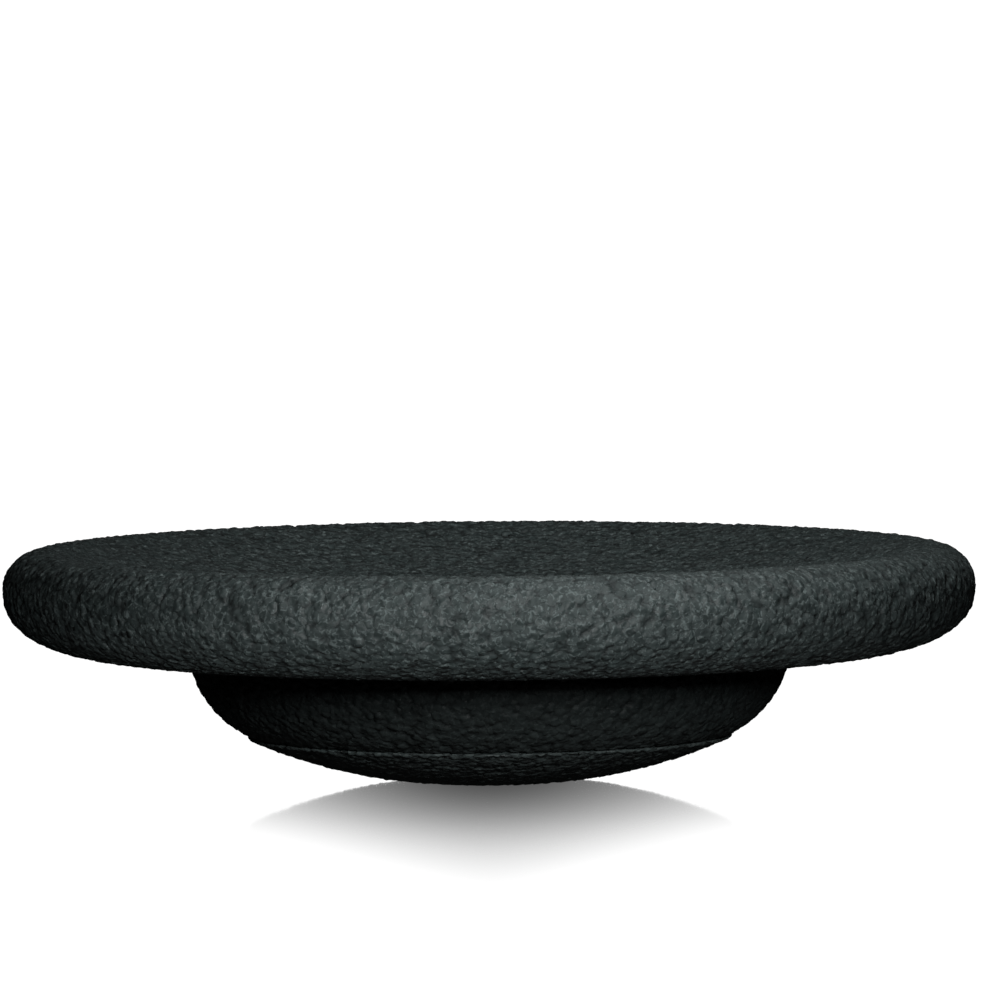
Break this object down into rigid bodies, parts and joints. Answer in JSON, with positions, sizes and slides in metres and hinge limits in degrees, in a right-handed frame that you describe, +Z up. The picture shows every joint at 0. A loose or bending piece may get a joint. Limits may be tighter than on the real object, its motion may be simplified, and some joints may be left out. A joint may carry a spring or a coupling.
{
  "type": "balance dome trainer",
  "caption": "Round dished standing deck on a bowl-shaped foam base with a curved rolling pad, for balance and stability training.",
  "frame": {"origin": "centre of the small flat at the bottom of the rolling pad, where the board stands on the floor", "axes": "+Z up along the board's axis of turn, from the floor to the dish; X and Y are any two directions across the deck"},
  "size_m": [0.395, 0.395, 0.095],
  "materials": {
    "deck_foam": "matt moulded bead foam, charcoal black",
    "dome_foam": "matt moulded bead foam, charcoal black",
    "pad_foam": "matt moulded bead foam with a tighter skin, charcoal black"
  },
  "bodies": {
    "root": {"deck": "deck_foam", "dome": "dome_foam", "rolling_pad": "pad_foam"}
  },
  "joints": []
}
